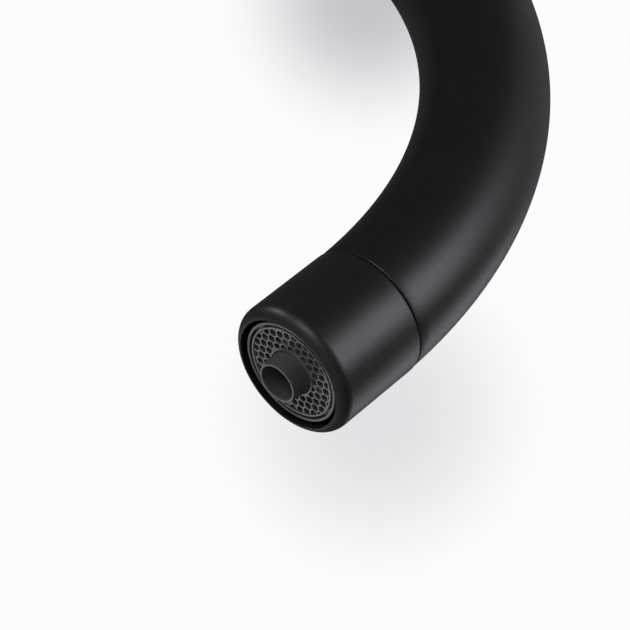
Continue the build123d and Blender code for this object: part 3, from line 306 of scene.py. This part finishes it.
finishes = {
    "black_coat": powder_coat(),
    "aerator_plastic": aerator_plastic(),
    "brass": turned_metal("brass", (0.50, 0.35, 0.13), (0.62, 0.45, 0.20), (0.24, 0.36)),
    "steel": turned_metal("steel", (0.42, 0.42, 0.43), (0.55, 0.55, 0.56), (0.22, 0.36)),
    "magnet": turned_metal("magnet", (0.34, 0.34, 0.36), (0.44, 0.44, 0.46), (0.15, 0.28)),
    "zinc_nut": turned_metal("zinc_nut", (0.45, 0.45, 0.42), (0.60, 0.59, 0.55), (0.32, 0.46)),
    "rubber": rubber(),
    "white_plastic": white_plastic(),
    "ceramic": ceramic(),
    "hose_braid": braid(),
    "blue_line": blue_line(),
    "screen": screen(),
}


def paint_cad_nodes():
    """Every CAD node gets its finish; those replaced below are hidden later."""
    for name, node in frame["nodes"].items():
        material = finishes[node_slots[name]]
        if not node.material_slots:
            node.data.materials.append(material)
        for slot in node.material_slots:
            slot.link = "OBJECT"
            slot.material = material


paint_cad_nodes()

# ---- Mesh tools --------------------------------------------------------------------------------


def finish_piece(piece, node, sharp=radians(32)):
    """Shades a piece and lets it stand for its CAD node: the node is hidden and the piece takes its finish."""
    mesh = piece.data
    mesh.materials.append(finishes[node_slots[node]])
    mesh.shade_smooth()
    mesh.set_sharp_from_angle(angle=sharp)
    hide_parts(node)
    return piece


def new_piece(name, bm):
    """Object from a bmesh, with its faces turned outwards."""
    bmesh.ops.recalc_face_normals(bm, faces=bm.faces)
    mesh = bpy.data.meshes.new(name)
    bm.to_mesh(mesh)
    bm.free()
    piece = bpy.data.objects.new(name, mesh)
    bpy.context.scene.collection.objects.link(piece)
    return piece


def rounded(outline, steps=5):
    """Closed outline of (radius, height, corner radius) in mm, with its corners made arcs."""
    points = []
    count = len(outline)
    for index, (radius, height, corner) in enumerate(outline):
        point = Vector((radius, height))
        if corner == 0:
            points.append(point)
            continue
        before = (Vector(outline[index - 1][:2]) - point).normalized()
        after = (Vector(outline[(index + 1) % count][:2]) - point).normalized()
        half = before.angle(after) / 2
        centre = point + (before + after).normalized() * (corner / sin(half))
        start = point + before * (corner / tan(half)) - centre
        end = point + after * (corner / tan(half)) - centre
        for step in range(steps + 1):
            outward = start.slerp(end, step / steps).normalized()
            points.append(centre + outward * corner)
    return points


def lathe(name, outline, place, segments=128):
    """Solid of revolution about the place's Z axis, from a closed outline in mm."""
    bm = bmesh.new()
    upright = Vector((0, 1, 0))
    rings = [ring_at(bm, Vector((0, 0, y * MM)), upright, x * MM, segments) for x, y in outline]
    skin_rings(bm, rings)
    bm.transform(place)
    return new_piece(name, bm)


def skin_rings(bm, rings):
    """Quads between each ring and the next, round to the first."""
    for index, ring in enumerate(rings):
        following = rings[(index + 1) % len(rings)]
        for step in range(len(ring)):
            beside = (step + 1) % len(ring)
            bm.faces.new([ring[step], ring[beside], following[beside], following[step]])


def ring_at(bm, centre, across, radius, segments):
    """Ring of vertices about a point; its axes are X and across."""
    ring = []
    for step in range(segments):
        turn = 2 * pi * step / segments
        place = centre + Vector((1, 0, 0)) * (radius * cos(turn)) + across * (radius * sin(turn))
        ring.append(bm.verts.new(place))
    return ring


# ---- Spout tube --------------------------------------------------------------------------------


def arch_point(turn):
    """Point of the tube's centreline and the direction away from the arch's centre."""
    outward = Vector((0, cos(turn), sin(turn)))
    return Vector((0, -arch_radius, arch_height)) + outward * arch_radius, outward


def make_spout_tube():
    """Bent tube with a wall, softly broken edges, and its end cut square to the head."""
    segments = 128
    column_steps = 16
    arch_steps = 132
    edge = 0.35 * MM
    edge_middle = edge * 0.3
    base = tube_low.z
    column = arch_height - base
    upright = Vector((0, 1, 0))
    bm = bmesh.new()
    stations = []
    for step in range(1, column_steps + 1):
        stations.append((Vector((0, 0, base + column * step / column_steps)), upright))
    stations += [arch_point(arch_sweep * step / arch_steps) for step in range(1, arch_steps)]
    rings = []
    for drop, inset in ((0, edge), (edge_middle, edge_middle), (edge, 0)):
        rings.append(ring_at(bm, Vector((0, 0, base + drop)), upright, tube_radius - inset, segments))
    rings += [ring_at(bm, centre, across, tube_radius, segments) for centre, across in stations]
    lip_across = -head_inward
    for rise, inset in ((edge, 0), (edge_middle, edge_middle), (0, edge)):
        rings.append(ring_at(bm, seam + head_up * rise, lip_across, tube_radius - inset, segments))
    rings.append(ring_at(bm, seam, lip_across, tube_bore, segments))
    rings += [ring_at(bm, centre, across, tube_bore, segments) for centre, across in reversed(stations)]
    rings.append(ring_at(bm, Vector((0, 0, base)), upright, tube_bore, segments))
    skin_rings(bm, rings)
    piece = finish_piece(new_piece("spout_tube_skin", bm), "spout_tube", radians(50))
    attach(piece, "spout")


make_spout_tube()

# ---- Pull-out head -----------------------------------------------------------------------------


def make_head_shell():
    """Thin round shell with a deep rounded lip."""
    radius = 14.15
    top = -0.35
    neck = 9.55
    shelf = -3.95
    straight_end = -12
    lip = 2.9
    end = -22.8
    mouth = 12.0
    mouth_break = 0.15
    centre = Vector((radius - lip, end + lip))
    last = acos((mouth + mouth_break - centre.x) / lip)
    steps = 14
    arc = [
        centre + Vector((cos(last * step / steps), -sin(last * step / steps))) * lip
        for step in range(steps + 1)
    ]
    shoulder = rounded([(neck, shelf, 0), (neck, top, 0.15), (radius, top, 0.3), (radius, straight_end, 0)])
    inside = [Vector((mouth, arc[-1].y + 0.12)), Vector((mouth, shelf))]
    outline = shoulder + arc + inside
    piece = finish_piece(lathe("head_shell_skin", outline, head_frame, 160), "head_shell", radians(50))
    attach(piece, "spray_head")


def make_aerator_housing():
    """Ring that holds the honeycomb, with a rounded lip."""
    outline = rounded(
        [
            (11.9, -10.4, 0.2),
            (11.9, -14.0, 0.2),
            (11.15, -14.0, 0),
            (11.15, -21.8, 0.2),
            (10.5, -21.8, 0.15),
            (10.5, -20.6, 0),
            (10.0, -20.6, 0),
            (10.0, -10.4, 0),
        ]
    )
    piece = finish_piece(lathe("aerator_ring", outline, head_frame, 160), "aerator_housing")
    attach(piece, "spray_head")


def make_nozzle():
    """Tube nozzle that narrows to a thin rounded tip."""
    outline = rounded(
        [
            (4.75, -6.1, 0),
            (4.75, -21.7, 0),
            (4.3, -25.65, 0.14),
            (3.82, -25.65, 0.12),
            (3.82, -12.0, 0.3),
            (1.7, -12.0, 0),
            (1.7, -9.3, 0),
            (2.6, -9.3, 0),
            (2.6, -6.1, 0),
        ]
    )
    piece = finish_piece(lathe("nozzle_tube", outline, head_frame, 128), "centre_nozzle")
    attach(piece, "spray_head")


make_head_shell()
make_aerator_housing()
make_nozzle()

# ---- Carried-over parts with broken edges ------------------------------------------------------


def soften(node, width, crease=radians(40)):
    """Copy of a CAD node with its flat faces joined up and its edges broken."""
    sharp = radians(30)
    flat = radians(0.5)
    same_place = 0.001 * MM
    bm = bmesh.new()
    bm.from_mesh(frame["nodes"][node].data)
    bmesh.ops.remove_doubles(bm, verts=bm.verts, dist=same_place)
    bmesh.ops.dissolve_limit(bm, angle_limit=flat, verts=bm.verts, edges=bm.edges)
    edges = [edge for edge in bm.edges if len(edge.link_faces) == 2 and edge.calc_face_angle(0) > sharp]
    bmesh.ops.bevel(
        bm, geom=edges, offset=width, segments=2, profile=0.5, affect="EDGES", clamp_overlap=True
    )
    piece = finish_piece(new_piece(node + "_finished", bm), node, crease)
    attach(piece, node_bodies[node])


for name, width in (
    ("valve_body", 0.35 * MM),
    ("base_flange", 0.25 * MM),
    ("lever_hub", 0.3 * MM),
    ("lever_rod", 0.2 * MM),
    ("filter_lever_hub", 0.3 * MM),
    ("filter_lever_rod", 0.2 * MM),
    ("dome_cover", 0.15 * MM),
    ("mounting_nut", 0.5 * MM),
    ("deck_metal_washer", 0.3 * MM),
    ("deck_rubber_washer", 0.5 * MM),
    ("hose_end_fitting", 0.3 * MM),
):
    soften(name, width)
soften("aerator_comb", 0.09 * MM, radians(20))

# ---- Threaded shank ----------------------------------------------------------------------------


def make_shank():
    """Tube with a helical thread, a relief groove, a plain neck and the grip in the body."""
    low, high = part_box("threaded_shank")
    neck = high.x
    outer = neck - 0.1 * MM
    grip = neck - 0.2 * MM
    relief = neck - 0.5 * MM
    inner = neck - 1.7 * MM
    pitch = 1.5 * MM
    depth = 0.8 * MM
    thread_top = -27 * MM
    neck_end = -25.5 * MM
    neck_top = -0.5 * MM
    thread_start = low.z + 0.4 * MM
    fade = 2 * MM
    flank = 0.9
    segments = 72
    rise = pitch / 8
    bm = bmesh.new()

    def level_ring(radius, level):
        return ring_at(bm, Vector((0, 0, level)), Vector((0, 1, 0)), radius, segments)

    rings = [level_ring(outer - depth, low.z)]
    level = thread_start
    while level < thread_top:
        ring = []
        share = min(1.0, (thread_top - level) / fade, (level - low.z) / fade)
        for step in range(segments):
            turn = 2 * pi * step / segments
            phase = (level / pitch - step / segments) % 1.0
            groove = depth * share * (1 - abs(2 * phase - 1)) ** flank
            if level - low.z < fade:
                groove += depth * (1 - (level - low.z) / fade)
            radius = outer - groove
            ring.append(bm.verts.new((radius * cos(turn), radius * sin(turn), level)))
        rings.append(ring)
        level += rise
    profile = (
        (outer, thread_top),
        (relief, thread_top),
        (relief, neck_end),
        (neck, neck_end),
        (neck, neck_top),
        (grip, neck_top),
        (grip, high.z),
        (inner, high.z),
        (inner, low.z),
    )
    for radius, level in profile:
        rings.append(level_ring(radius, level))
    skin_rings(bm, rings)
    piece = finish_piece(new_piece("shank_thread", bm), "threaded_shank", radians(60))
    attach(piece, "root")


make_shank()

# ---- Hose and filtered-water line in the spout -------------------------------------------------

# Each length is the outer radius, the bore and the end's height above the seam
hose_size = (6 * MM, 4.5 * MM, 2 * MM)
line_size = (2.5 * MM, 1.7 * MM, -9.2 * MM)
hose_bend = 60 * MM
dock_lead = 15 * MM
pull_start = 14 * MM
swivel_height = 111.05 * MM
column_bend_height = 190 * MM
kink = pi - arch_sweep - atan2(head_up.y, head_up.z)
entry_rise = arch_radius * sin(kink) + dock_lead
hose_arch_radius = hose_bend + hypot(arch_radius * cos(kink) - hose_bend, entry_rise)
entry_turn = asin(entry_rise / (hose_arch_radius - hose_bend))
hose_offset = hose_arch_radius - arch_radius
column_turn = acos(1 - hose_offset / (2 * hose_bend))


def pulled_route(end_rise):
    """Points of the centreline that is pulled out, with the direction across each."""
    steps = 48
    rises = [end_rise + (pull_start - end_rise) * step / steps for step in range(steps + 1)]
    return [(seam + head_up * rise, -head_inward) for rise in rises]


def kept_route():
    """Points of the centreline from the head's run over the arch and down to the swivel."""
    route = [(seam + head_up * rise, -head_inward) for rise in (pull_start, dock_lead)]

    def turn_through(place, heading, radius, turn, steps):
        """Arc that turns right by a positive angle; returns its end and the heading there."""
        side = -1 if turn > 0 else 1
        centre = place + Vector((0, sin(heading), -cos(heading))) * (radius * -side)
        for step in range(1, steps + 1):
            now = heading - turn * step / steps
            outward = Vector((0, sin(now), -cos(now))) * side
            route.append((centre + outward * radius, Vector((0, -sin(now), cos(now)))))
        return route[-1][0], heading - turn

    place, heading = turn_through(route[-1][0], atan2(head_up.z, head_up.y), hose_bend, entry_turn, 16)
    place, heading = turn_through(place, heading, hose_arch_radius, heading + pi / 2, 110)
    place = Vector((0, place.y, column_bend_height + 2 * hose_bend * sin(column_turn)))
    route.append((place, Vector((0, 1, 0))))
    place, heading = turn_through(place, heading, hose_bend, column_turn, 8)
    turn_through(place, heading, hose_bend, -column_turn, 8)
    route.append((Vector((0, 0, swivel_height)), Vector((0, 1, 0))))
    return route


def pipe(name, node, outer, inner, route):
    """Round pipe with a wall along a route."""
    segments = 48
    bm = bmesh.new()
    rings = [ring_at(bm, place, across, outer, segments) for place, across in route]
    rings += [ring_at(bm, place, across, inner, segments) for place, across in reversed(route)]
    skin_rings(bm, rings)
    return finish_piece(new_piece(name, bm), node, radians(60))


def make_pipe(name, node, outer, inner, end_rise):
    """Pipe in two lengths: one stays in the spout, the other, the short length at the spout's end, is left where
    it lies.
    """
    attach(pipe(name + "_kept", node, outer, inner, kept_route()), "spout")
    pulled = pipe(name + "_pulled", node, outer, inner, pulled_route(end_rise))
    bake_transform(pulled)


make_pipe("pull_hose_braid", "hose_upper", *hose_size)
make_pipe("filter_line_tube", "filter_line_upper", *line_size)

# ---- Stage and light ---------------------------------------------------------------------------


backdrop_white = (0.975, 0.975, 0.985)
# Grey of the shadows painted on the backdrop
painted_shadow_grey = (0.675, 0.668, 0.705)
# The floor's own light as the camera sees it: distances in metres and the share at each
near_floor = (0.5, 0.70)
far_floor = (8.0, 1.0)


def floor_finish():
    """Pale matt board that looks evenly bright, with faint shadows, and fades into the backdrop."""
    material = grained("floor", (0.86, 0.86, 0.87), (0.90, 0.90, 0.91), (0.6, 0.7), 40, 0.0)
    tree = material.node_tree
    glow = tree.nodes.new("ShaderNodeEmission")
    glow.inputs["Color"].default_value = (*backdrop_white, 1)
    coordinates = tree.nodes.new("ShaderNodeTexCoord")
    away = tree.nodes.new("ShaderNodeVectorMath")
    away.operation = "LENGTH"
    tree.links.new(coordinates.outputs["Object"], away.inputs[0])
    ends = (near_floor[0], far_floor[0], near_floor[1], far_floor[1])
    fade = map_range(tree, away.outputs["Value"], *ends, "SMOOTHSTEP")
    path = tree.nodes.new("ShaderNodeLightPath")
    share = combined(tree, "MULTIPLY", path.outputs["Is Camera Ray"], fade)
    mix = tree.nodes.new("ShaderNodeMixShader")
    tree.links.new(share, mix.inputs["Fac"])
    tree.links.new(tree.nodes["Principled BSDF"].outputs["BSDF"], mix.inputs[1])
    tree.links.new(glow.outputs["Emission"], mix.inputs[2])
    tree.links.new(mix.outputs["Shader"], tree.nodes["Material Output"].inputs["Surface"])
    return material


def make_floor():
    """Plain pale floor under the lowest part and under the fully pulled head."""
    size = 12.0
    pull = joints["head_pull"]["range_m"][1]
    head_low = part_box("centre_nozzle")[0].z - pull * head_up.z
    gap = 1 * MM
    floor_level = min(cad_bounds[0][2], head_low) - gap
    bm = bmesh.new()
    corners = [(-size, -size), (size, -size), (size, size), (-size, size)]
    bm.faces.new([bm.verts.new((x, y, floor_level)) for x, y in corners])
    floor = new_piece("floor", bm)
    floor.data.materials.append(floor_finish())


# Soft shadows painted on the backdrop where the camera sees it: a point that each lies behind, its reach and its
# depth
painted_backdrop_shadows = (
    (seam + Vector((-0.045, 0.034, 0.025)), 0.070, 0.42),
    (seam + Vector((0.014, -0.012, -0.006)), 0.085, 0.22),
)


def make_world():
    """Pale studio surroundings that light the object softly, with soft painted shadows where the camera sees them.
    """
    world = bpy.data.worlds.new("studio")
    bpy.context.scene.world = world
    world.use_nodes = True
    tree = world.node_tree
    tree.nodes.clear()
    output = tree.nodes.new("ShaderNodeOutputWorld")
    seen = tree.nodes.new("ShaderNodeBackground")
    coordinates = tree.nodes.new("ShaderNodeTexCoord")
    camera_place = bpy.context.scene.camera.matrix_world.translation
    backdrop = None
    for centre, reach, depth in painted_backdrop_shadows:
        away = tree.nodes.new("ShaderNodeVectorMath")
        away.operation = "DISTANCE"
        away.inputs[1].default_value = (centre - camera_place).normalized()
        tree.links.new(coordinates.outputs["Generated"], away.inputs[0])
        fade = map_range(tree, away.outputs["Value"], 0, reach, 1 - depth, 1, "SMOOTHERSTEP")
        backdrop = fade if backdrop is None else combined(tree, "MULTIPLY", backdrop, fade)
    # The patches are painted shadows: in each, the backdrop the camera sees turns grey
    shade = ramp(tree, backdrop, [(0.0, (0.0, 0.0, 0.0)), (0.7, painted_shadow_grey), (1.0, backdrop_white)])
    tree.links.new(shade, seen.inputs["Color"])
    cast = tree.nodes.new("ShaderNodeBackground")
    cast.inputs["Color"].default_value = (0.9, 0.92, 1.0, 1)
    cast.inputs["Strength"].default_value = 0.10
    path = tree.nodes.new("ShaderNodeLightPath")
    mix = tree.nodes.new("ShaderNodeMixShader")
    tree.links.new(path.outputs["Is Camera Ray"], mix.inputs["Fac"])
    tree.links.new(cast.outputs["Background"], mix.inputs[1])
    tree.links.new(seen.outputs["Background"], mix.inputs[2])
    tree.links.new(mix.outputs["Shader"], output.inputs["Surface"])


def area_light(name, direction, distance, size, power, receivers, tint):
    """Square softbox that points at the seam from a direction."""
    data = bpy.data.lights.new(name, "AREA")
    data.shape = "SQUARE"
    data.size = size
    data.energy = power
    data.color = tint
    light = bpy.data.objects.new(name, data)
    bpy.context.scene.collection.objects.link(light)
    light.visible_camera = False
    if receivers:
        light.light_linking.receiver_collection = receivers
    way = Vector(direction).normalized()
    turned = way.to_track_quat("Z", "Y").to_matrix().to_4x4()
    light.matrix_world = Matrix.Translation(seam + way * distance) @ turned


def light_group(name, pieces):
    """Collection of the pieces that a light falls on."""
    group = bpy.data.collections.new(name)
    for piece in pieces:
        group.objects.link(bpy.data.objects[piece])
    return group


def make_lights():
    """Soft key, edge and overhead lights, and small ones for the mouth of the head."""
    cool = (0.99, 0.965, 1.07)
    neutral = (1.02, 1.01, 0.97)
    all_but_floor = light_group("all_but_floor", ["floor"])
    all_but_floor.collection_objects[0].light_linking.link_state = "EXCLUDE"
    head = ("head_shell_skin", "aerator_ring", "nozzle_tube", "aerator_comb_finished")
    head_only = light_group("head_only", head)
    comb_only = light_group("comb_only", ["aerator_comb_finished"])
    camera_place = bpy.context.scene.camera.matrix_world.translation
    beside_mouth = head_up.cross(camera_place - seam).normalized()
    comb_left = beside_mouth - head_up
    comb_right = -beside_mouth - head_up
    # Name, direction, distance and size in metres, power in watts, what it falls on, tint
    for light in (
        ("key", (-0.408, -0.574, 0.709), 1.3, 0.8, 9, None, cool),
        ("edge", (0.88, -0.20, 0.78), 1.5, 0.8, 2.4, None, cool),
        ("front", (-0.892, -0.037, -0.448), 0.7, 0.3, 1.4, all_but_floor, cool),
        ("mouth", (0.685, 0.346, -0.641), 0.5, 0.36, 0.55, head_only, neutral),
        ("comb_left", comb_left, 0.4, 0.15, 0.5, comb_only, neutral),
        ("comb_right", comb_right, 0.4, 0.15, 0.5, comb_only, neutral),
        ("lip", (-0.56, 0.74, -0.34), 0.6, 0.10, 0.6, head_only, neutral),
        ("overhead", (0.1, 0.15, 1.0), 2.0, 2.0, 2.2, all_but_floor, cool),
    ):
        area_light(*light)


make_floor()
make_world()
make_lights()
bpy.context.scene.view_settings.view_transform = "Standard"
